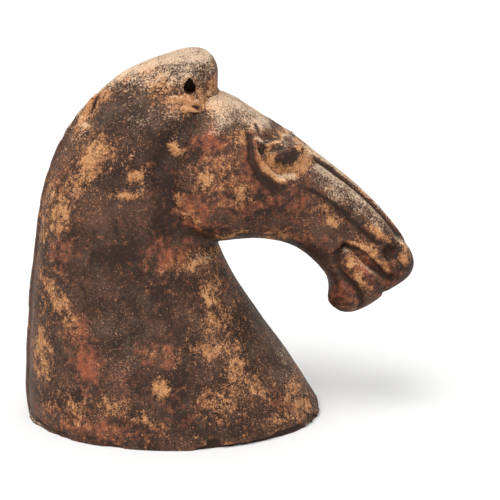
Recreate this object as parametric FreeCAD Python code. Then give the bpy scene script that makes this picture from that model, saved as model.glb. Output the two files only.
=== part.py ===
"""Hollow fired-clay horse head on a long neck, press-moulded in two halves and luted down the middle.

Millimetres. +X is the way the horse faces, +Z is up, and Y = 0 is the plane where the two halves meet.
The origin is on the surface that the neck stands on, under the middle of the overall length.
"""
import FreeCAD, Part
import math
import os

from FreeCAD import Vector

# ---- driving dimensions -------------------------------------------------------------------------
HALF_LENGTH = 95.3         # the nose and the mane are each this far from the origin
WALL = 7.0                 # clay pressed into each half of the mould
RING_POINTS = 28           # points that each section's outline is drawn through
FAR = 130.0                # reaches past the whole head in any direction

COIL_THICK = 4.0           # clay coil pressed over the joint on the inside
COIL_HALF_WIDTH = 6.5
COIL_FOOT = 8.0            # the coils stop this far above the rim
# Outline, in x and z, that holds the throat coil. The crest coil is outside it.
THROAT_SIDE = [(-30.0, -20.0), (-30.0, 112.0), (62.0, 94.0), (130.0, 94.0), (130.0, -20.0)]

MANE_HALF_WIDTH = 4.2      # clipped mane: a strip let into the joint down the back of the neck
MANE_PROUD = 2.0
MANE_TOP = (-44.0, 171.0)  # x and z where the mane runs in under the forelock

SOCKET_RADIUS = 3.2        # ear sockets, drilled into the forelock from each side
SOCKET = (-11.5, 165.5)    # x, z
SOCKET_FLOOR = 3.4         # clay left each side of the middle plane behind a socket
SOCKET_MOUTH = 15.6        # distance of the mouth of a socket from the middle plane

EAR_ROOT_RADII = (6.2, 4.8)      # what is left of each ear: a low collar round the socket
EAR_ROOT_HEIGHT = 6.6            # most of it is let into the clay
LEDGE_CENTRE = (-17.0, 13.6, 160.2)     # and a ledge under the collar
LEDGE_HALF_SIZE = (11.0, 3.6, 1.9)

EYE_RADIUS = 6.0
EYE_CENTRE = (31.8, 20.0, 132.8)

NOSTRIL_RADIUS = 2.8
NOSTRIL_FLOOR = (83.4, 11.0, 85.2)
NOSTRIL_LENGTH = 16.0            # reaches out past the skin
NOSTRIL_WAY = (0.30, 1.0, 0.28)

MOUTH_CORNER = (62.0, 89.0)      # x, z
MOUTH_FRONT = (88.0, 70.0)
MOUTH_GAPS = (0.8, 2.0, 0.9)     # opening of the lips at the corner, at its widest and at the front
MOUTH_WIDEST = 0.35              # how far along the mouth it is widest
MOUTH_DEPTH = 4.5                # how far the mouth is cut in from each side
MUZZLE_HALF_WIDTH = 18.4

# Neck: level sections, each as height, front x, back x, half width. All are near to ellipses.
NECK_SECTIONS = [
    (0.0, 53.0, -94.2, 55.0),         # rim that it stands on
    (10.0, 47.0, -HALF_LENGTH, 53.0),
    (24.0, 38.6, -94.8, 49.5),
    (50.0, 20.4, -92.8, 44.0),
    (75.0, 5.6, -90.0, 39.0),
    (98.0, -1.0, -86.6, 34.6),
    (118.0, 3.0, -82.6, 30.6),
    (134.0, 9.0, -76.0, 26.6),
    (147.0, 10.0, -68.8, 22.2),
    (157.0, 6.0, -59.6, 17.0),
    (164.5, -2.0, -51.4, 12.0),
    (169.5, -10.0, -44.0, 7.6),
    (171.5, -18.0, -37.0, 4.0),       # under the forelock
]
NECK_FULLNESS = 0.96
HOLLOW_TOP = 157.0         # height of the neck section that closes the hollow
HOLLOW_BELOW = 12.0        # the hollow's form runs on this far below the rim, to cut right through it
HOLLOW_FLARE = 2.5         # and is this much wider there, on each side

# Head: sections across the face, each as under point (x, z), top point (x, z), half width, fullness,
# lean. Fullness 1 is an ellipse, and less is boxier. Lean under 1 carries the widest place upwards.
HEAD_SECTIONS = [
    ((-22.0, 106.0), (-16.0, 142.0), 21.0, 0.92, 1.00),   # back of the cheek, inside the neck
    ((-14.5, 94.0), (-8.0, 155.0), 31.2, 0.80, 1.00),
    ((0.0, 88.4), (4.5, 160.0), 33.0, 0.86, 0.98),        # widest across the cheeks
    ((14.0, 89.6), (19.3, 151.4), 32.4, 0.86, 0.92),
    ((26.5, 89.0), (31.2, 143.8), 30.0, 0.84, 0.82),      # eyes
    ((38.0, 85.4), (43.6, 134.6), 25.2, 0.82, 0.82),
    ((47.5, 78.4), (56.4, 124.6), 20.8, 0.80, 0.88),
    ((54.0, 69.2), (68.2, 114.8), 18.6, 0.80, 0.94),
    ((55.5, 59.2), (79.2, 104.0), MUZZLE_HALF_WIDTH, 0.80, 0.96),   # corner of the mouth
    ((60.0, 52.2), (87.8, 94.2), MUZZLE_HALF_WIDTH, 0.80, 0.94),    # nostrils
    ((69.0, 52.6), (93.4, 85.2), 16.6, 0.82, 0.92),
    ((77.5, 59.0), (HALF_LENGTH, 77.2), 13.0, 0.86, 0.95),
    ((84.5, 64.2), (93.2, 70.8), 7.0, 0.92, 1.00),        # end of the upper lip
]
HOLLOW_HEAD = slice(1, 8)  # head sections that the hollow runs through

# Forelock: upright sections along it, each as x, top z, bottom z, half width.
FORELOCK_SECTIONS = [
    (-50.0, 165.6, 161.0, 3.0),
    (-43.0, 170.6, 160.0, 8.0),
    (-34.0, 174.9, 159.2, 11.6),
    (-24.0, 178.5, 158.6, 13.8),
    (-14.0, 181.3, 158.4, 14.6),
    (-7.0, 181.5, 158.4, 14.2),
    (-2.6, 179.2, 159.0, 12.6),
    (0.2, 175.2, 161.0, 9.6),
    (1.2, 171.5, 163.6, 5.5),
]
FORELOCK_FULLNESS = 0.80


# ---- sections and lofts -------------------------------------------------------------------------
def section(under, top, half_width, fullness, lean=1.0):
    """Closed outline in the plane through under and top (x, z each), square to the middle plane."""
    start, end = Vector(under[0], 0, under[1]), Vector(top[0], 0, top[1])
    points = []
    for i in range(RING_POINTS):
        turn = 2 * math.pi * (i + 0.5) / RING_POINTS
        along = ((1 - math.cos(turn)) / 2) ** lean
        side = math.copysign(abs(math.sin(turn)) ** fullness, math.sin(turn))
        points.append(start + (end - start) * along + Vector(0, half_width * side, 0))
    curve = Part.BSplineCurve()
    curve.interpolate(Points=points, PeriodicFlag=True)
    return Part.Wire([curve.toShape()])


def slopes(index):
    """Horizontal run per unit of height of the neck's front and back at a section."""
    low = NECK_SECTIONS[max(index - 1, 0)]
    high = NECK_SECTIONS[min(index + 1, len(NECK_SECTIONS) - 1)]
    rise = high[0] - low[0]
    return (high[1] - low[1]) / rise, (high[2] - low[2]) / rise


def neck(inset, back_inset=0.0):
    """Neck with its outline moved inwards by inset. With an inset it runs on below the rim."""
    sections = []
    for index, (z, front, back, half_width) in enumerate(NECK_SECTIONS):
        if inset > 0 and z > HOLLOW_TOP:
            break
        front_slope, back_slope = slopes(index)
        front -= inset * math.hypot(1, front_slope)
        back += (inset + back_inset) * math.hypot(1, back_slope)
        half_width -= inset
        if index == 0 and inset > 0:
            low_z = z - HOLLOW_BELOW
            low_front = front - front_slope * HOLLOW_BELOW
            low_half_width = half_width + HOLLOW_FLARE
            sections.append(section((low_front, low_z), (back, low_z), low_half_width, NECK_FULLNESS))
        sections.append(section((front, z), (back, z), half_width, NECK_FULLNESS))
    return Part.makeLoft(sections, True, False)


def head(inset, chosen):
    sections = []
    for under, top, half_width, fullness, lean in chosen:
        start, end = Vector(under[0], 0, under[1]), Vector(top[0], 0, top[1])
        step = (end - start).normalize() * inset
        start, end = start + step, end - step
        place = (start.x, start.z), (end.x, end.z)
        sections.append(section(*place, half_width - inset, fullness, lean))
    return Part.makeLoft(sections, True, False)


def hollow(inset):
    """The space inside the clay, down through the rim, with its walls moved inwards by inset."""
    space = neck(inset, MANE_PROUD).fuse(head(inset, HEAD_SECTIONS[HOLLOW_HEAD]))
    if inset > WALL:
        ceiling = HOLLOW_TOP - (inset - WALL)
        neck_part = neck(inset, MANE_PROUD).common(box_between((-FAR, -FAR, -FAR), (FAR, FAR, ceiling)))
        space = neck_part.fuse(head(inset, HEAD_SECTIONS[HOLLOW_HEAD]))
    return space


def box_between(low, high):
    size = [b - a for a, b in zip(low, high)]
    return Part.makeBox(*size, Vector(*low))


def slab(half_width):
    """Everything within half_width of the middle plane."""
    return box_between((-FAR, -half_width, -FAR), (FAR, half_width, 2 * FAR))


def mirrored(shape):
    return shape.mirror(Vector(0, 0, 0), Vector(0, 1, 0))


def ellipsoid(centre, half_size):
    ball = Part.makeSphere(1.0)
    matrix = FreeCAD.Matrix()
    matrix.scale(*half_size)
    matrix.move(Vector(*centre))
    return ball.transformGeometry(matrix)


# ---- pieces -------------------------------------------------------------------------------------
def left_socket():
    floor = Vector(SOCKET[0], SOCKET_FLOOR, SOCKET[1])
    return Part.makeCylinder(SOCKET_RADIUS, SOCKET_MOUTH, floor, Vector(0, 1, 0))


def forelock():
    """Bound tuft on the poll: a lobe with a blunt front that narrows back into the crest."""
    outlines = []
    for x, top_z, bottom_z, half_width in FORELOCK_SECTIONS:
        outlines.append(section((x, bottom_z), (x, top_z), half_width, FORELOCK_FULLNESS))
    return Part.makeLoft(outlines, True, False)


def left_eyeball():
    return Part.makeSphere(EYE_RADIUS, Vector(*EYE_CENTRE), Vector(0, 1, 0))


def left_mouth():
    """Parted lips: a leaf-shaped cut from the corner of the mouth, narrowing out through the front."""
    depth = MUZZLE_HALF_WIDTH - MOUTH_DEPTH
    corner = Vector(MOUTH_CORNER[0], depth, MOUTH_CORNER[1])
    front = Vector(MOUTH_FRONT[0], depth, MOUTH_FRONT[1])
    run = front - corner
    across = Vector(-run.z, 0, run.x).normalize()
    widest = corner + run * MOUTH_WIDEST
    middle = [corner, widest, front]
    upper = [point + across * (gap / 2) for point, gap in zip(middle, MOUTH_GAPS)]
    lower = [point - across * (gap / 2) for point, gap in zip(middle, MOUTH_GAPS)]
    ends = upper + lower[::-1] + upper[:1]
    return Part.Face(Part.makePolygon(ends)).extrude(Vector(0, FAR, 0))


def left_shell(outer, inner, tuft, mane):
    """The left moulded half: the outer form less the hollow and everything let into it."""
    half = outer.common(box_between((-FAR, 0, 0), (FAR, FAR, 2 * FAR)))
    floor, way = Vector(*NOSTRIL_FLOOR), Vector(*NOSTRIL_WAY)
    nostril = Part.makeCylinder(NOSTRIL_RADIUS, NOSTRIL_LENGTH, floor, way)
    for gone in (inner, tuft, mane, left_socket(), left_eyeball(), nostril, left_mouth()):
        half = half.cut(gone)
    return half


def mane_strip(inner, tuft):
    lowest, highest = (-FAR, -MANE_HALF_WIDTH, 0), (MANE_TOP[0], MANE_HALF_WIDTH, MANE_TOP[1])
    strip = neck(0).common(box_between(lowest, highest))
    return strip.cut(inner).cut(tuft)


def left_ear_root(outer, tuft):
    """Stump of a lost ear: a low collar round the socket, and the ledge under it."""
    base = Vector(SOCKET[0], SOCKET_MOUTH - EAR_ROOT_HEIGHT, SOCKET[1])
    collar = Part.makeCone(*EAR_ROOT_RADII, EAR_ROOT_HEIGHT, base, Vector(0, 1, 0))
    ledge = ellipsoid(LEDGE_CENTRE, LEDGE_HALF_SIZE)
    return collar.fuse(ledge).cut(tuft).cut(outer).cut(left_socket())


def seam_coils(inner):
    """Coils pressed over the joint inside: one along the crest and face, one up the throat and jaw."""
    band = inner.common(slab(COIL_HALF_WIDTH)).cut(hollow(WALL + COIL_THICK))
    band = band.common(box_between((-FAR, -FAR, COIL_FOOT), (FAR, FAR, 2 * FAR)))
    corners = [Vector(x, -FAR, z) for x, z in THROAT_SIDE]
    throat_side = Part.Face(Part.makePolygon(corners + corners[:1])).extrude(Vector(0, 2 * FAR, 0))
    coils = []
    for cut_band in (band.cut(throat_side), band.common(throat_side)):
        coils.append(max(cut_band.Solids, key=lambda solid: solid.Volume))
    return coils


def build():
    outer = neck(0, MANE_PROUD).fuse(head(0, HEAD_SECTIONS))
    inner = hollow(WALL)
    whole_tuft = forelock()
    mane = mane_strip(inner, whole_tuft)
    shell = left_shell(outer, inner, whole_tuft, mane)
    ear_root = left_ear_root(outer, whole_tuft)
    eyeball = left_eyeball()
    crest_coil, throat_coil = seam_coils(inner)
    return {
        "left_half_shell": shell,
        "right_half_shell": mirrored(shell),
        "forelock": whole_tuft.cut(left_socket()).cut(mirrored(left_socket())),
        "mane_strip": mane,
        "left_ear_root": ear_root,
        "right_ear_root": mirrored(ear_root),
        "left_eyeball": eyeball,
        "right_eyeball": mirrored(eyeball),
        "crest_seam_coil": crest_coil,
        "throat_seam_coil": throat_coil,
    }


if __name__ == "__main__":
    os.makedirs("parts", exist_ok=True)
    for name, shape in build().items():
        shape.exportStep(f"parts/{name}.step")
        box = shape.BoundBox
        print(f"{name}: valid {shape.isValid()}, {len(shape.Solids)} solid, {shape.Volume:.0f} mm3, "
              f"x {box.XMin:.1f} to {box.XMax:.1f}, y {box.YMin:.1f} to {box.YMax:.1f}, "
              f"z {box.ZMin:.1f} to {box.ZMax:.1f}")
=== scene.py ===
"""Hollow fired-clay horse head standing on its neck rim: dark slip worn through to orange-buff clay."""

import math

import bmesh
import bpy
import numpy as np
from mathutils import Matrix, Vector, noise


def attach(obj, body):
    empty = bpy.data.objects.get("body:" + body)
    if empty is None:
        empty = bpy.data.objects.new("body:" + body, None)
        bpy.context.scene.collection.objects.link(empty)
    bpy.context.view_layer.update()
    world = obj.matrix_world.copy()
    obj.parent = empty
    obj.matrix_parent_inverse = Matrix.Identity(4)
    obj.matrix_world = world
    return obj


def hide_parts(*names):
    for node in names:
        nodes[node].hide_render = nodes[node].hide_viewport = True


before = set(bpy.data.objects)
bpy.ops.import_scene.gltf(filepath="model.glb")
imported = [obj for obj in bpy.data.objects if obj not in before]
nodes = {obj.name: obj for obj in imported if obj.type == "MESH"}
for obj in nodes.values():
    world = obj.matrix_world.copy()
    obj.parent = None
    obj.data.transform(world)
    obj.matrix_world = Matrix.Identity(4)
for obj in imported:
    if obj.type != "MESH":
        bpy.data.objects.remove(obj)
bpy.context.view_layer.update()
MM = 0.001

# ---- sizes, in millimetres, in the part's frame --------------------------------------------------
GRAIN = 0.74        # size of the skin's mesh faces
INSIDE_GRAIN = 1.8                         # and of the hollow's
TUFT_GRAIN = 1.4                           # and of the forelock's cutter
COIL_GRAIN = 1.0                           # and of the coils inside
TUFT_MARGIN = 1.3                          # the forelock's cutter stands this far outside the CAD piece
FAR = 200.0                                # past the object in every direction
LEFT_DROP = 4.5                            # the left side of the face was modelled this much lower
LEFT_FAINTER = 0.4                         # and the strokes on its upper part are this much weaker

# The plug that carries the neck on under the table: front x, back x and half width at its top, which is
# PLUG_TOP over the table, and at its foot, PLUG_DEPTH under the table.
RIM = (53.0, -94.2, 55.0)
RIM_BELOW = (58.0, -93.4, 56.6)
PLUG_DEPTH = 8.0
PLUG_TOP = 0.6
RIM_FULLNESS = 0.96
RIM_CENTRE_X = -20.6                       # chips in the rim go in towards this place
MANE_HALF_WIDTH = 4.2
MANE_FRONT = -44.0

# The drilled nostrils are filled, and modelled again as soft hollows.
NOSTRIL_FILL = (82.6, 7.4, 84.6)
NOSTRIL_FILL_RADII = (4.8, 4.6, 4.8)

# Side of the crown, as x, half width and height: fills the angle between forelock and neck.
CROWN = [
    (-60.0, 4.0, 156.0), (-54.0, 12.0, 152.0), (-40.0, 18.5, 151.0), (-25.0, 20.5, 151.0),
    (-12.0, 19.5, 151.0), (-5.0, 18.0, 151.0), (-52.0, 4.0, 163.5), (-42.0, 8.6, 167.0),
    (-32.0, 12.0, 168.0), (-22.0, 13.8, 168.5), (-12.0, 14.2, 169.0), (-5.0, 13.0, 168.0),
]

# The hollow. Neck: level outlines, as height, front x, back x, half width.
HOLLOW_NECK = [
    (-12.0, 52.0, -85.2, 50.5), (0.0, 44.8, -85.2, 48.0), (24.0, 30.2, -85.8, 42.5),
    (50.0, 12.0, -83.7, 37.0), (75.0, -2.1, -80.9, 32.0), (98.0, -8.0, -77.5, 27.6),
    (118.0, -4.0, -73.2, 23.6), (134.0, 1.9, -66.0, 19.6), (147.0, 3.0, -57.7, 15.2),
    (157.0, -2.4, -47.2, 10.0),
]
# Head: outlines across the face, as lowest x and z, highest x and z, half width.
HOLLOW_HEAD = [
    (-13.8, 101.0, -8.7, 148.0, 24.2), (0.4, 95.4, 4.1, 153.0, 26.0), (14.6, 96.6, 18.7, 144.4, 25.4),
    (27.1, 96.0, 30.6, 136.8, 23.0), (38.8, 92.4, 42.8, 127.6, 18.2), (48.8, 85.3, 55.1, 117.7, 13.8),
    (56.1, 75.9, 66.1, 108.1, 11.6),
]
HOLLOW_FULLNESS = 0.88

# The CAD pieces whose outsides make up the head.
FORM_NODES = (
    "left_half_shell", "right_half_shell", "forelock", "mane_strip", "left_eyeball", "right_eyeball",
)

# ---- mesh helpers --------------------------------------------------------------------------------


def new_object(name, mesh):
    obj = bpy.data.objects.new(name, mesh)
    bpy.context.scene.collection.objects.link(obj)
    return obj


def mesh_from(name, points, faces):
    """Mesh object from points in millimetres."""
    mesh = bpy.data.meshes.new(name)
    mesh.from_pydata([tuple(c * MM for c in p) for p in points], [], faces)
    mesh.update()
    return new_object(name, mesh)


def apply_modifiers(obj):
    """Replaces an object's mesh with what its modifiers make of it."""
    depsgraph = bpy.context.evaluated_depsgraph_get()
    mesh = bpy.data.meshes.new_from_object(obj.evaluated_get(depsgraph), depsgraph=depsgraph)
    obj.modifiers.clear()
    old = obj.data
    obj.data = mesh
    bpy.data.meshes.remove(old)


def remesh(obj, size):
    change = obj.modifiers.new("remesh", "REMESH")
    change.mode = "VOXEL"
    change.voxel_size = size * MM
    apply_modifiers(obj)


def boolean(obj, cutter, operation):
    change = obj.modifiers.new("cut", "BOOLEAN")
    change.operation = operation
    change.solver = "MANIFOLD"
    change.object = cutter
    apply_modifiers(obj)


def copy_of(obj, name):
    return new_object(name, obj.data.copy())


def joined(name, sources):
    """One mesh object holding copies of the meshes of several objects."""
    builder = bmesh.new()
    for source in sources:
        builder.from_mesh(source.data)
    mesh = bpy.data.meshes.new(name)
    builder.to_mesh(mesh)
    builder.free()
    return new_object(name, mesh)


def remove(*objects):
    for obj in objects:
        mesh = obj.data
        bpy.data.objects.remove(obj)
        bpy.data.meshes.remove(mesh)


def block(name, low, high):
    corners = [(x, y, z) for x in (low[0], high[0]) for y in (low[1], high[1]) for z in (low[2], high[2])]
    faces = [(0, 1, 3, 2), (4, 6, 7, 5), (0, 4, 5, 1), (2, 3, 7, 6), (0, 2, 6, 4), (1, 5, 7, 3)]
    return mesh_from(name, corners, faces)


def positions(obj):
    """Vertex positions in millimetres."""
    out = np.empty(len(obj.data.vertices) * 3)
    obj.data.vertices.foreach_get("co", out)
    return out.reshape(-1, 3) / MM


def set_positions(obj, points):
    obj.data.vertices.foreach_set("co", (points * MM).ravel())
    obj.data.update()


def normals(obj):
    out = np.empty(len(obj.data.vertices) * 3)
    obj.data.vertex_normals.foreach_get("vector", out)
    return out.reshape(-1, 3)


def edges(obj):
    out = np.empty(len(obj.data.edges) * 2, dtype=np.int32)
    obj.data.edges.foreach_get("vertices", out)
    return out.reshape(-1, 2)


def relaxed(points, links, rounds, strength=0.5):
    """Points moved towards the mean of their neighbours. strength may differ from point to point."""
    first, second = links[:, 0], links[:, 1]
    count = np.bincount(links.ravel(), minlength=len(points)).clip(1)[:, None]
    strength = np.broadcast_to(strength, (len(points),))[:, None]
    for _ in range(rounds):
        total = np.empty_like(points)
        for axis in range(3):
            column = points[:, axis]
            total[:, axis] = np.bincount(first, column[second], len(points))
            total[:, axis] += np.bincount(second, column[first], len(points))
        points = points + strength * (total / count - points)
    return points


def largest_part(obj, name):
    """The connected piece of a mesh with the most points, renamed. The rest is removed."""
    for other in bpy.context.selected_objects:
        other.select_set(False)
    obj.select_set(True)
    bpy.context.view_layer.objects.active = obj
    bpy.ops.mesh.separate(type="LOOSE")
    parts = sorted(bpy.context.selected_objects, key=lambda part: -len(part.data.vertices))
    remove(*parts[1:])
    parts[0].name = name
    parts[0].data.name = name
    return parts[0]


# ---- sculpting tools -----------------------------------------------------------------------------


def step(low, high, value):
    """0 below low, 1 above high, smooth between. low may be the larger of the two."""
    t = np.clip((value - low) / (high - low), 0.0, 1.0)
    return t * t * (3 - 2 * t)


def bell(gap, width):
    """1 on a line, falling smoothly to nothing at about twice width from it."""
    return np.exp(-((gap / width) ** 2))


def distance_to_path(points, path):
    """Distance of each point from an open polyline in space."""
    best = np.full(len(points), FAR)
    for start, end in zip(path[:-1], path[1:]):
        start, end = np.array(start, float), np.array(end, float)
        run = end - start
        along = np.clip(((points - start) @ run) / (run @ run), 0.0, 1.0)
        gap = np.linalg.norm(points - start - along[:, None] * run, axis=1)
        best = np.minimum(best, gap)
    return best


def lumps(points, size, seed):
    """Smooth noise from about -1 to 1, with lumps of a given size in millimetres."""
    shift = Vector((seed * 17.3, seed * 5.1, seed * 9.7))
    scale = 1.0 / size
    return np.array([noise.noise(Vector(p) * scale + shift) for p in points])


# ---- the solid form, inside and out --------------------------------------------------------------


def outline(low, high, half_width, fullness, count=96):
    """Ring of points round the line from low to high (x, z each). Fullness 1 is an ellipse."""
    ring = []
    for i in range(count):
        turn = 2 * math.pi * i / count
        along = (1 - math.cos(turn)) / 2
        side = math.copysign(abs(math.sin(turn)) ** fullness, math.sin(turn))
        x = low[0] + (high[0] - low[0]) * along
        z = low[1] + (high[1] - low[1]) * along
        ring.append((x, half_width * side, z))
    return ring


def loft(name, rings):
    """Closed solid through rings with the same number of points."""
    count = len(rings[0])
    points = [p for ring in rings for p in ring]
    faces = [tuple(reversed(range(count)))]
    for level in range(len(rings) - 1):
        a, b = level * count, (level + 1) * count
        faces += [(a + i, a + (i + 1) % count, b + (i + 1) % count, b + i) for i in range(count)]
    faces.append(tuple(range(len(points) - count, len(points))))
    return mesh_from(name, points, faces)


def hull(name, points):
    builder = bmesh.new()
    for p in points:
        builder.verts.new([c * MM for c in p])
    made = bmesh.ops.convex_hull(builder, input=builder.verts)
    bmesh.ops.delete(builder, geom=made["geom_interior"], context="VERTS")
    mesh = bpy.data.meshes.new(name)
    builder.to_mesh(mesh)
    builder.free()
    return new_object(name, mesh)


def ball(name, centre, radii, rings=32):
    builder = bmesh.new()
    bmesh.ops.create_uvsphere(builder, u_segments=2 * rings, v_segments=rings, radius=1.0)
    for v in builder.verts:
        v.co = Vector((v.co[i] * radii[i] + centre[i]) * MM for i in range(3))
    mesh = bpy.data.meshes.new(name)
    builder.to_mesh(mesh)
    builder.free()
    return new_object(name, mesh)


def solid_form():
    """The whole head as one filled solid, carried on below the table so the rim can be cut flat."""
    levels = [(RIM_BELOW, -PLUG_DEPTH), (RIM, PLUG_TOP)]
    plug = loft("plug", [outline((f, z), (b, z), w, RIM_FULLNESS) for (f, b, w), z in levels])
    crown = hull("crown", [(x, side * y, z) for x, y, z in CROWN for side in (-1, 1)])
    fillers = [plug, crown]
    x, y, z = NOSTRIL_FILL
    for side in (-1, 1):
        fillers.append(ball("filler", (x, side * y, z), NOSTRIL_FILL_RADII))
    form = joined("form", [nodes[name] for name in FORM_NODES] + fillers)
    remove(*fillers)
    remesh(form, GRAIN)
    return form


def hollow_form():
    neck = [outline((f, z), (b, z), w, HOLLOW_FULLNESS) for z, f, b, w in HOLLOW_NECK]
    head = [outline((x0, z0), (x1, z1), w, HOLLOW_FULLNESS) for x0, z0, x1, z1, w in HOLLOW_HEAD]
    neck, head = loft("hollow_neck", neck), loft("hollow_head", head)
    hollow = joined("hollow", [neck, head])
    remove(neck, head)
    remesh(hollow, INSIDE_GRAIN)
    # Uneven, as pressed by hand.
    points = positions(hollow)
    rise = 0.7 * lumps(points, 9.0, 8) + 0.3 * lumps(points, 4.0, 9)
    set_positions(hollow, points + normals(hollow) * rise[:, None])
    return hollow


# ---- sculpting -----------------------------------------------------------------------------------
# Paths are x, distance from the middle plane, z. Those of the left side are LEFT_DROP lower.

CREASE_ROUNDS = 24                         # smoothing of the moulded form's own creases
SOFTENED_FROM = (0.5, 8.0)                 # heights over the rim where it starts and where it is full
OPENING_ROUNDS = 80                        # smoothing at the nostrils and lips
CHEEK_CENTRE = (6.0, 121.0)
CHEEK_RADII = (26.0, 28.0)
CHEEK_SQUARENESS = 2.5
CHEEK_RISE = 1.9
CHEEK_GROOVE_DEPTH = 2.0                   # round the back of the cheek
CHEEK_FADES = (22.0, 2.0)                  # x where the cheek has gone and where it is full
ORBIT_CENTRE = (33.0, 18.0, 136.0)         # the mound that the eye is set in
ORBIT_RADII = (13.0, 10.0, 8.0)
ORBIT_RISE = 2.4
LEFT_ORBIT = 0.4                           # share of the mound's rise that the left side has
EYE_CENTRE = (32.5, 21.0, 135.3)
EYE_RADII = (7.0, 6.4, 6.0)
EYE_RISE = 2.4
LEFT_EYE = 0.5                             # share of the eye's rise that the left side has
NOSTRIL_CENTRE = (83.6, 10.5, 84.8)
NOSTRIL_SOFT = 4.4                         # the nostril's edge is softened this far out
MOUTH_SLOT = [(62.0, 16.0, 89.0), (88.0, 16.0, 70.0)]
MOUTH_SOFT = 3.4                           # and the lips' edges this far
SOCKET_CENTRE = (-11.5, 165.5)
SOCKET_RADIUS = 2.9
SOCKET_PEAK = 1.8                          # the socket is drawn up to a point by this much
SOCKET_SIDES = 40
SOCKET_FLOOR = 3.6                         # distance from the middle plane
SOCKET_MOUTH = 24.0

# Grooves and ridges: path, width, height (below nothing for a groove), and how far a ridge is rubbed
# pale or how much painted shade darkens a groove.
STROKES = [
    # Brow crease and the hollow over the eye.
    ([(19.5, 15.0, 148.0), (21.5, 20.5, 144.5), (24.5, 23.0, 141.5)], 0.9, -0.9, 0.8),
    ([(25.0, 20.0, 144.4), (30.0, 17.5, 144.2), (35.0, 14.0, 142.6)], 2.4, -1.7, 1.0),
    ([(26.0, 26.0, 138.2), (31.0, 25.5, 139.0), (36.0, 22.0, 137.6), (39.5, 18.0, 134.6)], 0.8, -1.3, 0.6),
    # Upper lid.
    ([(24.5, 25.0, 140.9), (27.5, 24.0, 141.6), (32.0, 21.5, 142.2), (36.5, 18.5, 140.8),
      (39.5, 16.0, 137.0), (41.5, 14.5, 133.8)], 0.95, 2.6, 1.7),
    # Hollow round the eyeball.
    ([(22.0, 26.3, 138.5), (25.0, 28.5, 132.0), (30.5, 28.0, 127.9), (36.0, 24.5, 128.0)], 2.8, -2.8, 0.0),
    # Outer rim of the eye hollow, and the dark channel outside it.
    ([(18.8, 24.4, 142.4), (20.0, 27.7, 137.4), (23.1, 29.6, 131.4), (27.5, 29.7, 126.4),
      (32.5, 28.3, 123.8)], 1.3, 2.4, 1.2),
    ([(16.4, 23.0, 144.1), (16.8, 29.4, 134.6), (21.4, 30.8, 126.6), (28.2, 30.0, 120.2)], 2.4, -2.0, 1.0),
    # Ridge from under the eye to the nostril.
    ([(42.5, 22.5, 128.0), (49.0, 21.0, 122.2), (61.3, 16.6, 114.0), (71.2, 15.0, 103.2),
      (79.6, 14.5, 94.8)], 1.6, 1.3, 0.3),
    ([(48.0, 22.5, 110.0), (54.0, 20.5, 104.0), (62.0, 18.5, 97.0)], 3.4, -0.8, 0.0),
    # Nostril: raised edge behind it, knob in front, channel down to the lip.
    ([(86.5, 9.0, 89.5), (82.0, 12.0, 89.2), (80.4, 14.0, 85.5), (82.0, 15.5, 81.5)], 1.1, 1.1, 0.5),
    ([(89.6, 8.5, 87.0), (89.9, 11.0, 82.5)], 2.0, 2.2, 0.6),
    ([(84.5, 15.0, 82.5), (85.0, 16.0, 79.0), (86.0, 15.5, 73.0)], 1.7, -1.5, 0.7),
    # Lips: channel under the upper lip, channel between the lower lip and the chin, and their edges.
    ([(61.8, 18.3, 88.8), (66.5, 17.8, 87.6), (71.3, 17.0, 83.6), (76.0, 16.6, 78.8), (81.3, 16.2, 74.5),
      (85.5, 15.5, 71.8)], 1.9, -3.2, 1.0),
    ([(61.8, 18.3, 88.8), (57.6, 17.9, 84.8), (57.0, 17.5, 79.3), (61.6, 17.5, 73.4), (65.4, 17.6, 70.0),
      (69.0, 17.1, 65.5), (70.7, 14.7, 59.5), (70.4, 10.0, 55.0)], 1.7, -2.7, 1.0),
    ([(65.0, 18.5, 90.4), (72.0, 18.2, 86.8), (78.0, 17.8, 80.8), (84.0, 16.6, 75.8)], 1.8, 1.0, 0.6),
    ([(64.5, 18.2, 80.0), (68.8, 18.2, 74.5), (74.0, 17.5, 68.5)], 2.0, 0.9, 0.6),
    ([(79.5, 14.0, 66.5), (82.3, 11.0, 64.2), (83.5, 5.0, 63.2), (83.6, 0.0, 63.0)], 1.5, -2.4, 1.0),
    ([(55.8, 17.0, 77.0), (60.0, 17.5, 70.0), (64.0, 17.0, 63.0)], 2.6, 0.9, 0.2),
    # Edge of the mane, and what is left of the ear.
    ([(-55.0, 3.8, 159.0), (-58.1, 6.5, 153.8), (-60.5, 11.0, 148.5)], 0.8, -2.4, 1.0),
    ([(-57.0, 2.6, 158.5), (-61.5, 5.5, 151.5), (-65.5, 9.0, 144.0)], 1.5, 1.3, 0.9),
    ([(-25.5, 15.2, 160.6), (-18.0, 16.4, 161.0), (-8.0, 15.6, 158.8)], 0.75, 2.2, 1.0),
    ([(-21.5, 16.2, 158.6), (-14.0, 16.6, 157.9), (-8.0, 15.8, 156.6)], 0.7, -1.2, 0.6),
    ([(-19.5, 16.6, 156.6), (-13.0, 16.6, 155.9), (-7.5, 15.8, 154.4)], 0.8, 1.4, 1.0),
    ([(-16.5, 14.4, 162.5), (-16.0, 14.2, 167.5), (-12.0, 14.2, 171.6), (-7.6, 14.0, 168.6),
      (-7.0, 14.2, 164.0)], 1.0, 1.2, 0.8),
]

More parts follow.
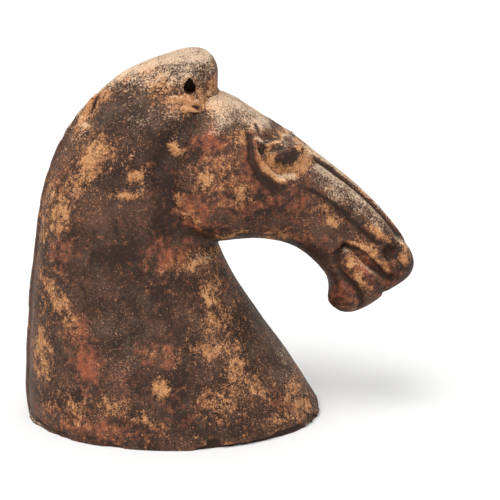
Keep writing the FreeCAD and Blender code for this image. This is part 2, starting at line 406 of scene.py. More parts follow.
# Drops in the surface: path, depth, and how far below the path the surface comes back up.
LEDGES = [
    # Side of the keel down the nose.
    ([(50.0, 7.0, 130.5), (57.0, 4.6, 125.4), (66.8, 3.4, 117.2), (76.0, 2.9, 108.2), (84.5, 3.0, 99.0),
      (89.0, 3.0, 93.0)], 2.8, 4.0),
    # Under the ridge from the eye to the nostril.
    ([(47.5, 22.0, 119.4), (59.1, 18.2, 111.5), (68.7, 16.6, 100.7), (77.6, 15.8, 92.1)], 3.2, 4.5),
]
LEDGE_EDGE = 0.9                           # half the width of the drop at a ledge's edge
LEDGE_LEAN = 0.7                           # what is further out counts as lower, by this share

# Round pits and bumps: centre, radius, height.
SPOTS = [
    ((84.0, 12.5, 84.6), 3.4, -2.8),       # nostril
    ((62.2, 18.4, 84.4), 3.0, -0.6),       # corner of the mouth
    ((56.0, 6.0, 59.0), 4.5, 1.7),         # back of the chin
    ((57.5, 6.0, 70.0), 5.0, -0.7),
    ((93.0, 3.0, 76.0), 8.0, 1.6),         # end of the nose
    ((14.0, 33.0, 112.0), 11.0, -0.8),     # dimple at the back of the jaw
    ((46.5, 12.5, 132.0), 2.2, 1.0),       # inner corner of the eye
    ((-52.0, 26.0, 120.0), 20.0, -1.0),    # flat on the side of the neck
]

# Nicks in the crest, as x and z.
NICKS = [
    (-57.5, 159.5), (-69.0, 147.0), (-73.5, 139.5), (-81.5, 124.0), (-86.5, 105.0), (-90.5, 78.0),
    (-93.0, 52.0),
]
NICK_SIZE = 2.0
NICK_DEPTH = 1.0

CHIP_HEIGHT = 7.0                          # chips in the rim reach up to this height
CHIP_DEPTH = 3.0
CHIPPED_FROM = (-25.0, 5.0)                # x where the worse chipping starts and where it is full
PIT_DEPTH = 0.35
FACE_FROM = (-10.0, 15.0)                  # x where the left side starts to be lower and where it is
FAINT_HEIGHTS = (120.0, 132.0)             # z where the left strokes start to be weaker and where they are


def folded(points):
    """Points with y as the distance from the middle plane, and the left side lifted to match."""
    out = points.copy()
    out[:, 1] = np.abs(points[:, 1])
    face = step(*FACE_FROM, points[:, 0])
    out[:, 2] += LEFT_DROP * face * (points[:, 1] > 0)
    return out


def ledge_depth(points, path, depth, width):
    """How far each point is pushed in by a ledge: most just below the path, nothing above it."""
    best = np.full(len(points), FAR)
    above = np.zeros(len(points))
    for start, end in zip(path[:-1], path[1:]):
        start, end = np.array(start, float), np.array(end, float)
        run = end - start
        along = np.clip(((points - start) @ run) / (run @ run), 0.0, 1.0)
        off = points - start - along[:, None] * run
        gap = np.linalg.norm(off, axis=1)
        nearer = gap < best
        best[nearer] = gap[nearer]
        above[nearer] = (off[:, 2] - LEDGE_LEAN * off[:, 1])[nearer]
    drop = step(LEDGE_EDGE, -LEDGE_EDGE, above)
    return depth * drop * np.exp(-best / width) * step(4 * width, 2 * width, best)


def softened(points, links):
    """The moulded form's own creases rounded over, least at the rim and most at nostrils and lips."""
    points = relaxed(points, links, CREASE_ROUNDS, 0.5 * step(*SOFTENED_FROM, points[:, 2]))
    here = folded(points)
    hole = np.linalg.norm(here - NOSTRIL_CENTRE, axis=1) / NOSTRIL_SOFT
    slot = distance_to_path(here, MOUTH_SLOT) / MOUTH_SOFT
    return relaxed(points, links, OPENING_ROUNDS, 0.6 * step(1.5, 0.8, np.minimum(hole, slot)))


def with_broad_forms(points, out, left):
    """Cheek, the groove behind it, and the eyes on their mounds, raised along the normals out."""
    here = folded(points)
    x, y, z = here.T
    u, v = (np.abs(a - c) / r for a, c, r in zip((x, z), CHEEK_CENTRE, CHEEK_RADII))
    radius = (u ** CHEEK_SQUARENESS + v ** CHEEK_SQUARENESS) ** (1 / CHEEK_SQUARENESS)
    flank = step(4.0, 14.0, y) * step(0.1, 0.45, np.abs(out[:, 1]))
    behind = step(*CHEEK_FADES, x)
    rise = CHEEK_RISE * step(1.08, 0.84, radius) * behind
    rise -= CHEEK_GROOVE_DEPTH * bell(radius - 1.20, 0.15) * behind * step(0.3, 0.7, radius)
    mound = np.linalg.norm((here - ORBIT_CENTRE) / ORBIT_RADII, axis=1)
    rise += ORBIT_RISE * step(1.5, 0.3, mound) * np.where(left, LEFT_ORBIT, 1.0)
    points = points + out * (rise * flank)[:, None]
    eye = np.linalg.norm((folded(points) - EYE_CENTRE) / EYE_RADII, axis=1)
    return points + out * (EYE_RISE * step(1.15, 0.2, eye) * np.where(left, LEFT_EYE, 1.0))[:, None]


def with_drawn_features(points, out, left, links):
    """Strokes, ledges, spots and nicks."""
    here = folded(points)
    rise = np.zeros(len(points))
    shown = 1 - LEFT_FAINTER * left * step(*FAINT_HEIGHTS, here[:, 2])
    for path, width, height, _ in STROKES:
        rise += shown * height * bell(distance_to_path(here, path), width)
    for path, depth, width in LEDGES:
        rise -= ledge_depth(here, path, depth, width)
    for centre, radius, height in SPOTS:
        rise += height * bell(np.linalg.norm(here - centre, axis=1), radius)
    for x, z in NICKS:
        rise -= NICK_DEPTH * bell(np.linalg.norm(points - (x, 0.0, z), axis=1), NICK_SIZE)
    return relaxed(points + out * rise[:, None], links, 2, 0.4)


def weathered(points, out):
    """Undulation, tool marks, grain and a chipped rim. Also how far each point is chipped, 0 to 1."""
    broad = lumps(points, 22.0, 1)
    middle = lumps(points * (1.0, 1.0, 0.6), 7.0, 2)
    small = lumps(points, 2.6, 3)
    grain = lumps(points, 1.3, 4)
    rise = 0.45 * broad + 0.22 * middle + 0.10 * small + 0.07 * grain
    rise -= PIT_DEPTH * step(0.42, 0.62, small) * step(0.0, 0.4, middle)
    chip_top = CHIP_HEIGHT * (0.25 + 0.75 * step(-0.2, 0.6, lumps(points * (1, 1, 0.2), 9.0, 5)))
    front = step(*CHIPPED_FROM, points[:, 0])
    chipped = step(chip_top, 0.35 * chip_top, points[:, 2])
    chipped *= step(0.0, 0.3, lumps(points, 14.0, 6) + 0.4 * front)
    chipped *= 0.4 + 0.6 * front
    points = points + out * rise[:, None]
    inward = points * (-1.0, -1.0, 0.0) + (RIM_CENTRE_X, 0.0, 0.0)
    inward /= np.linalg.norm(inward, axis=1)[:, None].clip(1.0)
    points = points + inward * (CHIP_DEPTH * chipped * (0.6 + 0.6 * np.abs(middle)))[:, None]
    return points, chipped


def sculpt(form):
    """Models the filled form in four stages. Returns how far each point is chipped, 0 to 1."""
    links = edges(form)
    points = softened(positions(form), links)
    set_positions(form, points)
    left = points[:, 1] > 0
    points = with_broad_forms(points, normals(form), left)
    set_positions(form, points)
    points = with_drawn_features(points, normals(form), left, links)
    set_positions(form, points)
    points, chipped = weathered(points, normals(form))
    set_positions(form, points)
    return chipped


def relief(form, rounds):
    """How far each point stands out from its smoothed surroundings, in millimetres."""
    points, links = positions(form), edges(form)
    return ((points - relaxed(points, links, rounds)) * normals(form)).sum(axis=1)


def set_field(obj, name, values):
    field = obj.data.attributes.new(name, "FLOAT", "POINT")
    field.data.foreach_set("value", values.astype(np.float32))


# ---- where the surface is worn -------------------------------------------------------------------
# Patches on the right side, as x, z, half length, half width, tilt in degrees, strength. In BUFF the slip
# is worn through, in RED it is thin, in the dark patches it is thick or shade is painted in a hollow or
# under a part, and in the dust patches pale dust lies on it or a highlight is painted where a face looks
# up.

BUFF = [
    # Crest and side of the neck.
    (-53, 137, 8, 4, 10, 1.0), (-59, 131, 10, 5, 70, 0.9), (-60, 151, 7, 2.6, 60, 1.0),
    (-53, 160, 7, 3, 50, 0.9), (-43, 170, 4, 2, 30, 0.9), (-66, 119, 4, 4, 0, 0.8),
    (-73, 106, 8, 5, 60, 0.9), (-78, 112, 9, 3, 75, 0.7), (-82, 97, 12, 4, 85, 0.6),
    (-36, 126, 3, 4, 90, 1.0), (-41, 118, 5, 2.2, 5, 0.9), (-18, 139, 4.2, 2.4, 88, 1.1),
    # Cheek and jaw.
    (-3, 125, 4, 4, 0, 0.9), (-17, 114, 6, 3, 80, 0.8), (4, 130, 14, 10, 0, 0.35),
    (-12, 108, 6, 3, -45, 0.8), (14, 145, 3, 5, 100, 1.0), (13, 118, 6, 5, 70, 0.7),
    (6, 95, 8, 2.4, 20, 0.8), (28, 93, 9, 3, 5, 0.8),
    # Throat and the front of the neck.
    (-8, 84, 13, 4, 5, 0.76), (-2, 68, 4, 8, 0, 0.76), (2, 57, 10, 12, 0, 0.55), (-3, 44, 10, 4, 0, 0.84),
    (11, 36, 4, 12, 5, 0.76), (3, 22, 13, 9, 10, 0.6), (21, 23, 7, 2.5, -62, 0.92),
    (37, 17, 3, 3.4, 0, 0.92), (41, 10, 6, 3.4, -35, 0.92), (31, 8, 9, 3, -10, 0.59),
    (44, 18, 9, 1.3, -55, 0.67),
    # Back and foot of the neck.
    (-84, 75, 6, 3, 90, 0.59), (-75, 68, 9, 5, -60, 0.84), (-69, 58, 7, 4, -60, 0.67),
    (-84, 38, 5, 15, 0, 0.71), (-66, 14, 8, 6, -50, 0.6), (-48, 19, 8, 4, 5, 0.74),
    (-34, 15, 8, 3, -15, 0.7), (-24, 29, 3.6, 3.6, 0, 0.97), (-28, 6, 30, 3.5, 0, 0.3),
    (-78, 12, 9, 8, 0, 0.35), (-30, 45, 4, 2, 0, 0.59), (-18, 42, 3, 5, 0, 0.59),
    # Eye hollow, face and mouth.
    (33.5, 142, 7, 1.1, -10, 1.2), (39.5, 138, 3, 1.1, -60, 1.1), (25, 133, 3, 6, -25, 1.0),
    (29, 129, 5, 3.4, -35, 1.15), (36, 127.5, 6, 3, 8, 1.05), (42, 131, 4, 4, 0, 1.1),
    (54, 129.5, 9, 1.9, -38, 1.1), (66, 120, 9, 1.9, -41, 1.1), (77, 110, 9, 1.9, -46, 1.1),
    (86, 100, 7, 1.9, -55, 1.1), (91.5, 90, 6, 1.7, -70, 1.0), (74.6, 86, 9, 2.4, -47, 0.82),
    (79.5, 94, 5, 1.7, -38, 0.9), (56, 103, 5, 2.4, -42, 1.0), (52, 109, 4, 3, 0, 0.9),
    (65, 84, 3, 2.6, 0, 0.65), (69, 73, 4, 2, -50, 0.45), (91.5, 81, 2.6, 5, 0, 0.8),
    # Poll and forelock.
    (-3, 158, 7, 5, 0, 1.0), (-12, 157, 8, 3.4, 0, 1.05), (-26, 167, 7, 4.5, 20, 0.9),
    (-32, 173, 6, 2.4, 20, 0.9), (-16, 160, 8, 1.6, 5, 1.2), (0, 165, 2.4, 5, 0, 0.9),
]
RED = [
    (-10, 109, 10, 7, -40, 1.0), (-1, 143, 8, 5, 0, 0.9), (16, 134, 6, 14, 0, 0.9),
    (17, 114, 7, 9, 0, 0.7), (-20, 88, 11, 9, 0, 0.8), (-60, 37, 6, 10, 10, 1.1),
    (-66, 54, 7, 9, 20, 0.8), (-31, 45, 5, 5, 0, 0.8), (-21, 43, 4, 6, 0, 0.8), (-60, 9, 26, 7, 0, 0.7),
    (33, 14, 8, 4, -30, 0.8), (-40, 28, 10, 8, 0, 0.5), (71, 80, 5, 4, -45, 1.2),
    (40, 112, 11, 9, -30, 0.7), (28, 116, 9, 9, 0, 0.6), (62, 65, 6, 9, 0, 0.8),
    (40, 95, 16, 5, -15, 0.6), (-70, 122, 10, 9, 60, 0.5), (-75, 90, 10, 14, 0, 0.5),
    (8, 75, 6, 12, 30, 0.6), (84, 78, 4, 6, 0, 0.8), (-12, 20, 16, 8, 0, 0.5), (10, 124, 22, 18, 0, 0.6),
    (72, 82, 15, 9, -45, 0.75),
]
# The last patch darkens the foot of the neck.
# Thick slip, and painted shade: the patches in the groove behind the cheek, under the jaw, under the ridge
# of
# the poll, over the eye and in the channel round it, in the nostril and under the end of the nose are
# shade.
DARK_SLIP_AND_SHADE = [
    (-23, 124, 5, 24, 3, 1.0), (-21, 104, 8, 7, 0, 0.9), (-4, 97, 16, 3, -12, 1.0),
    (-9, 148, 7, 6, 0, 1.1), (9, 148, 5, 4, 0, 0.8), (-50, 153, 6, 6, 60, 0.7),
    (-37, 90, 20, 14, 30, 0.6), (-27, 62, 12, 16, 0, 0.5), (-16, 30, 6, 14, 0, 0.7),
    (-28, 18, 14, 5, 0, 0.5), (16, 45, 7, 20, 25, 0.6), (12, 108, 7, 6, 0, 0.3),
    (32.4, 134.8, 6.2, 3.8, 0, 1.3), (28, 144.5, 6, 1.8, 0, 1.0), (22, 122, 9, 3, -55, 0.9),
    (84.4, 84.2, 4.0, 4.2, 0, 0.9), (87.5, 73.5, 7, 3.6, 20, 1.2), (-62, 76, 10, 10, 0, 0.4),
    (57, 68, 2.5, 9, 0, 0.6), (40, 88, 12, 2.4, -20, 0.7), (-20, 13, 60, 11, 0, 0.32),
]
# Pale dust, and a painted highlight: the band down the top of the nose and the patches on the brow,
# forehead and crown paint light on faces that look up. The patches on the neck are dust.
DUST_AND_TOP_LIGHT = [
    (54, 130, 9, 1.9, -38, 1.2), (66, 120.5, 9, 1.9, -41, 1.2), (77, 110.5, 9, 1.9, -46, 1.2),
    (86, 100.5, 7, 1.9, -55, 1.2), (91.5, 91, 6, 1.7, -70, 1.1), (-18, 153, 15, 6, 0, 0.9),
    (10, 153, 18, 6, -30, 0.8), (-22, 172, 20, 7, 10, 0.9), (-34, 152, 12, 9, 0, 0.5),
    (-44, 52, 13, 22, 0, 0.22), (24, 30, 8, 26, 25, 0.4), (56, 116, 16, 2.4, -42, 0.6),
    (24, 147, 10, 3, -30, 0.8),
]
PATCH_EDGE = 0.55                          # how soon a patch falls off, larger is sooner
LINE_SPREAD = 1.1                          # width of a stroke's colour over the width of its shape
LEDGE_SHADE_WIDTH = 3.0                    # painted shadow lies this wide under a ledge
WANDER = 2.4                               # patches' edges stray this far
DUST_AND_LIGHT_FACES = (0.25, 0.85)                  # upward slope where pale dust and a painted highlight start and where they are full
DUST_AND_LIGHT_ON_TOP = 1.05                         # its strength there
NEAR_SIDE = (12.0, 4.0)                    # y where the patches have gone and where they are full
RIDGE_ROUNDS = 14                          # smoothing against which fine ridges stand out
RIDGE_HEIGHT = 0.5
BROAD_ROUNDS = 60                          # and against which broad ones do
BROAD_HEIGHT = 1.2


def patch_field(x, z, patches):
    """Strongest patch over each point, 1 in the middle of a patch and 0 well outside it."""
    field = np.zeros(len(x))
    for px, pz, length, width, tilt, strength in patches:
        turn = math.radians(tilt)
        along = (x - px) * math.cos(turn) + (z - pz) * math.sin(turn)
        across = (z - pz) * math.cos(turn) - (x - px) * math.sin(turn)
        spread = (along / length) ** 2 + (across / width) ** 2
        field = np.maximum(field, strength * np.exp(-PATCH_EDGE * spread))
    return field


def paint_fields(form, chipped):
    """Wear, dust, painted shade and painted highlight fields that the clay material reads, kept with the
    mesh.
    """
    points = positions(form)
    here = folded(points)
    ridges, grooves = np.zeros(len(points)), np.zeros(len(points))
    # Ridges rubbed pale, and painted shade along the grooves.
    for path, width, height, tint in STROKES:
        line = tint * bell(distance_to_path(here, path), LINE_SPREAD * width)
        if height > 0:
            ridges = np.maximum(ridges, line)
        else:
            grooves = np.maximum(grooves, line)
    # Painted shadow under each ledge, added to the grooves' painted shade.
    for path, _, _ in LEDGES:
        grooves = np.maximum(grooves, ledge_depth(here, path, 1.0, LEDGE_SHADE_WIDTH))
    # Faces that look up get pale dust and a painted highlight, as if lit from above.
    upward = step(*DUST_AND_LIGHT_FACES, normals(form)[:, 2])
    x = points[:, 0] + WANDER * lumps(points, 6.0, 11)
    z = points[:, 2] + WANDER * lumps(points, 6.0, 12)
    # The near side has the patches listed above, and the far side has made-up clouds.
    near_side = step(*NEAR_SIDE, points[:, 1])
    cloud = lumps(points, 19.0, 13) + 0.6 * lumps(points, 9.0, 14)
    cloud_red = lumps(points, 24.0, 15) + 0.5 * lumps(points, 8.0, 16)
    fields = {
        "buff": near_side * patch_field(x, z, BUFF) + (1 - near_side) * step(0.0, 0.75, cloud),
        "red": near_side * patch_field(x, z, RED) + (1 - near_side) * step(0.0, 0.8, cloud_red),
        "thick_slip_and_shade": near_side * patch_field(x, z, DARK_SLIP_AND_SHADE) + (1 - near_side) * step(0.1, -0.7, cloud),
        "ridges": ridges,
        "grooves": grooves,
        "dust_and_top_light": np.maximum(patch_field(x, z, DUST_AND_TOP_LIGHT), DUST_AND_LIGHT_ON_TOP * upward),
        # Convex relief wears paler, and concave relief gets painted shade in the material.
        "ridge": np.clip(relief(form, RIDGE_ROUNDS) / RIDGE_HEIGHT, -1, 1),
        "broad_ridge": np.clip(relief(form, BROAD_ROUNDS) / BROAD_HEIGHT, -1, 1),
        "chipped": chipped,
    }
    for name, values in fields.items():
        set_field(form, name, values)


# ---- splitting the form into its pieces ----------------------------------------------------------


def taken_out(form, cutter, name):
    """The part of form inside cutter, as a new piece. It is cut away from form."""
    piece = copy_of(form, name)
    boolean(piece, cutter, "INTERSECT")
    boolean(form, cutter, "DIFFERENCE")
    return largest_part(piece, name)


def socket_cutter(side):
    """Solid that cuts one ear socket, with its floor SOCKET_FLOOR from the middle plane."""
    ring = []
    for i in range(SOCKET_SIDES):
        turn = 2 * math.pi * i / SOCKET_SIDES
        peak = SOCKET_PEAK * max(0.0, math.sin(turn)) ** 6
        x = SOCKET_CENTRE[0] + SOCKET_RADIUS * math.cos(turn)
        ring.append((x, SOCKET_CENTRE[1] + (SOCKET_RADIUS + peak) * math.sin(turn)))
    levels = [side * y for y in (SOCKET_FLOOR, SOCKET_MOUTH)]
    if side > 0:
        levels.reverse()
    return loft("socket_cutter", [[(x, y, z) for x, z in ring] for y in levels])


# The ear's stump: its outline as x and z, and how near and far it reaches from the middle plane.
EAR_ROOT_HULL = [(-27, 154), (-27, 162), (-19, 173), (-5, 173), (-4.5, 154)]
EAR_ROOT_REACH = (12.6, 24.0)


def split(form, hollow):
    """Cuts the sculpted form into the pieces it was made from."""
    pieces = {}
    below = block("below", (-FAR, -FAR, -FAR), (FAR, FAR, 0.0))
    boolean(form, below, "DIFFERENCE")
    boolean(form, hollow, "DIFFERENCE")
    remove(below)
    for side_name, side in (("right", -1), ("left", 1)):
        socket = socket_cutter(side)
        boolean(form, socket, "DIFFERENCE")
        remove(socket)
        drop = LEFT_DROP if side > 0 else 0.0
        centre = (EYE_CENTRE[0], side * EYE_CENTRE[1], EYE_CENTRE[2] - drop)
        cutter = ball("eye_cutter", centre, EYE_RADII)
        pieces[f"{side_name}_eyeball"] = taken_out(form, cutter, f"{side_name}_eye")
        remove(cutter)
        corners = [(x, side * y, z) for x, z in EAR_ROOT_HULL for y in EAR_ROOT_REACH]
        cutter = hull("ear_cutter", corners)
        pieces[f"{side_name}_ear_root"] = taken_out(form, cutter, f"{side_name}_ear_stump")
        remove(cutter)
    tuft = copy_of(nodes["forelock"], "tuft_cutter")
    remesh(tuft, TUFT_GRAIN)
    set_positions(tuft, positions(tuft) + TUFT_MARGIN * normals(tuft))
    pieces["forelock"] = taken_out(form, tuft, "forelock_tuft")
    remove(tuft)
    strip = block("strip", (-FAR, -MANE_HALF_WIDTH, -1.0), (MANE_FRONT, MANE_HALF_WIDTH, FAR))
    pieces["mane_strip"] = taken_out(form, strip, "mane")
    remove(strip)
    near = block("near", (-FAR, -FAR, -FAR), (FAR, 0.0, FAR))
    pieces["right_half_shell"] = taken_out(form, near, "right_half")
    remove(near)
    pieces["left_half_shell"] = largest_part(form, "left_half")
    return pieces


def coil(name, node):
    """Clay coil pressed into the joint with the fingers."""
    obj = copy_of(nodes[node], name)
    remesh(obj, COIL_GRAIN)
    points = relaxed(positions(obj), edges(obj), 6)
    set_positions(obj, points)
    dabs = lumps(points * (1.0, 0.5, 1.0), 8.0, 21)
    points = points + normals(obj) * (0.9 + 0.7 * dabs + 0.3 * lumps(points, 3.0, 22))[:, None]
    set_positions(obj, points)
    return obj


form = solid_form()
hollow = hollow_form()
chipped = sculpt(form)
paint_fields(form, chipped)
pieces = split(form, hollow)
remove(hollow)
pieces["crest_seam_coil"] = coil("crest_coil", "crest_seam_coil")
pieces["throat_seam_coil"] = coil("throat_coil", "throat_seam_coil")

# ---- camera, light, floor ------------------------------------------------------------------------
CAMERA_SENSOR = 36.0
CAMERA_LENS = 122.4
CAMERA_PLACE = (0.0166, -0.796, 0.316)     # in metres
CAMERA_DOWN = 16.35                        # degrees below level
SKY_STRENGTH = 0.86
KEY = ((-0.30, -0.38, 1.00), 40.0, 1.98)   # direction it comes from, spread in degrees, power
FILL = ((0.30, -1.00, 0.35), 60.0, 0.40)
FLOOR_REACH = 3000.0
FLOOR_THICKNESS = 2.0
PAPER = (0.80, 0.80, 0.79, 1.0)
PAPER_ROUGHNESS = 0.9

camera_data = bpy.data.cameras.new("camera")
camera_data.sensor_width = CAMERA_SENSOR
camera_data.lens = CAMERA_LENS
camera = bpy.data.objects.new("camera", camera_data)
camera.location = CAMERA_PLACE
camera.rotation_euler = (math.radians(90 - CAMERA_DOWN), 0.0, 0.0)
bpy.context.scene.collection.objects.link(camera)
bpy.context.scene.camera = camera

# Plain colours: the paper stays near white, and the clay keeps its own.
bpy.context.scene.view_settings.view_transform = "Standard"

world = bpy.data.worlds.new("studio")
world.use_nodes = True
sky = world.node_tree.nodes["Background"]
sky.inputs["Color"].default_value = (1.0, 1.0, 1.0, 1.0)
sky.inputs["Strength"].default_value = SKY_STRENGTH
bpy.context.scene.world = world


def sun(name, place, spread, power):
    """Soft light from the direction of place, seen as a disc of a given spread in degrees."""
    data = bpy.data.lights.new(name, "SUN")
    data.angle = math.radians(spread)
    data.energy = power
    lamp = bpy.data.objects.new(name, data)
    lamp.location = place
    lamp.rotation_euler = (-Vector(place)).to_track_quat("-Z", "Y").to_euler()
    bpy.context.scene.collection.objects.link(lamp)


sun("key", *KEY)
sun("fill", *FILL)

floor = block("floor", (-FLOOR_REACH, -FLOOR_REACH, -FLOOR_THICKNESS), (FLOOR_REACH, FLOOR_REACH, 0.0))

# ---- materials -----------------------------------------------------------------------------------


def rgb(red, green, blue):
    """Colour from 0 to 255 numbers, as the shader wants it."""
    levels = [c / 255 for c in (red, green, blue)]
    return (*((c / 12.92) if c < 0.04045 else ((c + 0.055) / 1.055) ** 2.4 for c in levels), 1.0)


# Colours of the slip, of the clay under it, of the dust, and of the painted shade and highlight.
# Soot black of the slip, and also the colour of the painted shade.
SOOT_AND_SHADE = rgb(44, 29, 21)
SLIP = rgb(86, 58, 45)
GREY_SLIP = rgb(84, 66, 55)
RED_BROWN = rgb(122, 70, 50)
RED_CLAY = rgb(150, 78, 52)
HALO = rgb(140, 92, 60)
BUFF_DEEP = rgb(158, 103, 64)
BUFF_PALE = rgb(204, 153, 102)
GRIT = rgb(190, 138, 100)
# Pale dust, also painted as a highlight on faces that look up.
PALE_DUST_AND_LIGHT = rgb(224, 196, 166)
SLIP_ROUGHNESS = 0.60
SPECULAR = 0.18
BUMP_STRENGTH = 0.75
BUMP_HEIGHT = 0.45                         # in millimetres


class Surface:
    """A material and its nodes. Every method but feed adds nodes and returns the last one's output."""

    def __init__(self, name):
        self.material = bpy.data.materials.new(name)
        self.material.use_nodes = True
        self.tree = self.material.node_tree
        self.shader = self.tree.nodes["Principled BSDF"]
        self.place = self.tree.nodes.new("ShaderNodeTexCoord").outputs["Object"]

    def feed(self, socket, value):
        """Links an output into a socket, or sets the socket to a constant."""
        if isinstance(value, bpy.types.NodeSocket):
            self.tree.links.new(value, socket)
        else:
            socket.default_value = value

    def math(self, operation, *values):
        node = self.tree.nodes.new("ShaderNodeMath")
        node.operation = operation
        for socket, value in zip(node.inputs, values):
            self.feed(socket, value)
        return node.outputs[0]

    def weighted(self, *terms):
        """Sum of value times weight."""
        total = 0.0
        for value, weight in terms:
            total = self.math("MULTIPLY_ADD", value, weight, total)
        return total

    def field(self, name):
        """A wear field kept with the mesh."""
        node = self.tree.nodes.new("ShaderNodeAttribute")
        node.attribute_name = name
        return node.outputs["Fac"]

    def noise(self, size, detail=2.0, seed=0.0, stretch=(1.0, 1.0, 1.0)):
        """Noise from about -0.5 to 0.5 with lumps of a size in millimetres."""
        shift = self.tree.nodes.new("ShaderNodeMapping")
        self.feed(shift.inputs["Vector"], self.place)
        shift.inputs["Location"].default_value = (seed, 0.37 * seed, -0.61 * seed)
        shift.inputs["Scale"].default_value = stretch
        node = self.tree.nodes.new("ShaderNodeTexNoise")
        self.feed(node.inputs["Vector"], shift.outputs[0])
        node.inputs["Scale"].default_value = 1.0 / (size * MM)
        node.inputs["Detail"].default_value = detail
        return self.math("SUBTRACT", node.outputs["Fac"], 0.5)

    def between(self, value, low, high, top=1.0):
        """Smooth step of value from low to high, up to top."""
        node = self.tree.nodes.new("ShaderNodeMapRange")
        node.interpolation_type = "SMOOTHSTEP"
        for socket, number in zip(node.inputs, (value, low, high, 0.0, top)):
            self.feed(socket, number)
        return node.outputs[0]

    def blend(self, amount, under, over):
        """Colour under, covered with colour over by amount."""
        node = self.tree.nodes.new("ShaderNodeMix")
        node.data_type = "RGBA"
        for socket, value in zip((node.inputs[0], node.inputs[6], node.inputs[7]), (amount, under, over)):
            self.feed(socket, value)
        return node.outputs[2]


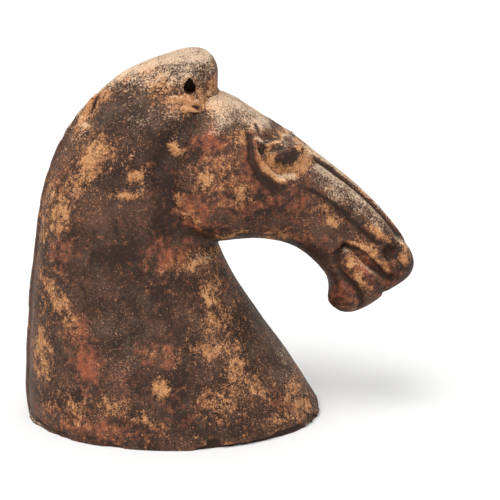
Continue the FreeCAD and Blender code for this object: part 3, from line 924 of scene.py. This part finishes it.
def fired_clay(name, bare):
    """Clay under a worn dark slip. bare shifts the wear everywhere: above 0 more worn, below 0 less.

    Each sum is of patterns and of the wear, dust, painted shade and painted highlight fields with their
    weights, and between() turns it into how much of the colour below the next one covers.
    """
    s = Surface(name)
    cloud = s.noise(16.0, 3.0, 1.0)
    patch = s.noise(5.0, 4.0, 2.0)
    mottle = s.noise(2.4, 3.0, 3.0)
    fleck = s.noise(1.1, 2.0, 4.0)
    grain = s.noise(0.55, 2.0, 5.0)
    scratch = s.noise(3.0, 2.0, 6.0, (2.2, 1.0, 0.35))
    ridge = s.field("ridge")
    broad = s.field("broad_ridge")

    # Slip: from soot black to brown, greyer in places, and darker where it is thick or where shade is
    # painted.
    shade = s.weighted((cloud, 2.0), (mottle, 1.4), (grain, 1.3), (s.field("thick_slip_and_shade"), -0.62), (ridge, 0.30))
    colour = s.blend(s.between(shade, -0.55, 0.60), SOOT_AND_SHADE, SLIP)
    grey = s.weighted((s.noise(11.0, 3.0, 7.0), 2.5), (fleck, 1.0), (s.field("dust_and_top_light"), 0.5))
    colour = s.blend(s.between(grey, 0.0, 0.9, 0.8), colour, GREY_SLIP)

    # Where the slip is thin the fired clay shows red.
    thin = s.weighted((s.field("red"), 1.0), (patch, 2.0), (mottle, 1.6), (grain, 1.0), (ridge, 0.15))
    colour = s.blend(s.between(thin, 0.25, 0.95, 0.75), colour, RED_BROWN)
    colour = s.blend(s.between(thin, 0.70, 1.25, 0.70), colour, RED_CLAY)

    # Rubbed through to buff clay, first on the ridges, with a ragged speckled edge.
    worn = s.weighted(
        (s.field("buff"), 1.05), (patch, 1.5), (mottle, 1.5), (fleck, 1.3), (grain, 1.3), (scratch, 0.6),
        (ridge, 0.18), (broad, 0.12), (s.field("ridges"), 0.55), (s.field("grooves"), -1.0),
        (s.field("thick_slip_and_shade"), -0.30),
    )
    worn = s.math("ADD", worn, bare)
    tone = s.weighted((s.noise(7.0, 3.0, 8.0), 1.6), (grain, 1.2), (fleck, 0.8))
    buff = s.blend(s.between(tone, -0.6, 0.7), BUFF_DEEP, BUFF_PALE)
    colour = s.blend(s.between(worn, 0.30, 0.70, 0.60), colour, HALO)
    colour = s.blend(s.between(worn, 0.52, 1.15, 0.94), colour, buff)

    # Pinkish grit everywhere, and pale dust and a painted highlight on faces that look up.
    grit = s.weighted(
        (grain, 2.2), (fleck, 1.3), (s.field("dust_and_top_light"), 0.30), (s.field("buff"), 0.25), (cloud, 0.5),
    )
    grit = s.math("MULTIPLY_ADD", s.field("thick_slip_and_shade"), -0.22, grit)
    colour = s.blend(s.between(grit, 0.20, 0.75, 0.62), colour, GRIT)
    dust_and_light = s.weighted(
        (s.field("dust_and_top_light"), 0.84), (grain, 1.4), (fleck, 1.1), (patch, 0.8), (s.field("grooves"), -0.5),
        (s.field("thick_slip_and_shade"), -1.0),
    )
    colour = s.blend(s.between(dust_and_light, 0.28, 1.10, 0.74), colour, PALE_DUST_AND_LIGHT)

    # Painted shade in the grooves, under the ledges and in concave relief, the chipped rim darker, and
    # dirt in the pits.
    low = s.weighted(
        (ridge, -0.8), (s.field("grooves"), 1.0), (s.field("chipped"), 0.9), (s.field("buff"), -0.4),
        (mottle, 0.8), (grain, 0.6),
    )
    colour = s.blend(s.between(low, 0.10, 0.85, 0.88), colour, SOOT_AND_SHADE)
    pits = s.weighted((s.noise(1.6, 1.0, 9.0), 1.0), (s.field("buff"), -0.03))
    colour = s.blend(s.between(pits, 0.20, 0.28, 0.7), colour, SOOT_AND_SHADE)

    s.feed(s.shader.inputs["Base Color"], colour)
    rough = s.weighted((worn, 0.14), (grain, 0.35), (s.field("dust_and_top_light"), 0.10))
    s.feed(s.shader.inputs["Roughness"], s.math("ADD", rough, SLIP_ROUGHNESS))
    s.shader.inputs["Specular IOR Level"].default_value = SPECULAR

    height = s.weighted((grain, 0.35), (fleck, 0.5), (scratch, 0.25), (s.between(worn, 0.55, 0.95), -0.22))
    height = s.math("MULTIPLY_ADD", s.between(pits, 0.20, 0.28), -0.35, height)
    bump = s.tree.nodes.new("ShaderNodeBump")
    bump.inputs["Strength"].default_value = BUMP_STRENGTH
    bump.inputs["Distance"].default_value = BUMP_HEIGHT * MM
    s.feed(bump.inputs["Height"], height)
    s.feed(s.shader.inputs["Normal"], bump.outputs[0])
    return s.material


paper = Surface("paper")
paper.shader.inputs["Base Color"].default_value = PAPER
paper.shader.inputs["Roughness"].default_value = PAPER_ROUGHNESS
floor.data.materials.append(paper.material)

SHELL_WEAR = 0.0
EAR_AND_COIL_WEAR = 0.06
EYE_WEAR = -0.60
SHARP_ANGLE = 60.0                         # degrees between faces from which an edge stays sharp

# Each slot's material, and how the names of the nodes that have it end.
FINISHES = {
    "slipped_clay": (fired_clay("slipped_clay", SHELL_WEAR), ("half_shell", "forelock", "mane_strip")),
    "bare_clay": (fired_clay("bare_clay", EAR_AND_COIL_WEAR), ("ear_root", "seam_coil")),
    "eye_clay": (fired_clay("eye_clay", EYE_WEAR), ("eyeball",)),
}

for node, piece in pieces.items():
    for slot, (material, kinds) in FINISHES.items():
        if node.endswith(kinds):
            piece.data.materials.clear()
            piece.data.materials.append(material)
    piece.data.shade_smooth()
    piece.data.set_sharp_from_angle(angle=math.radians(SHARP_ANGLE))
    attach(piece, "root")
    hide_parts(node)
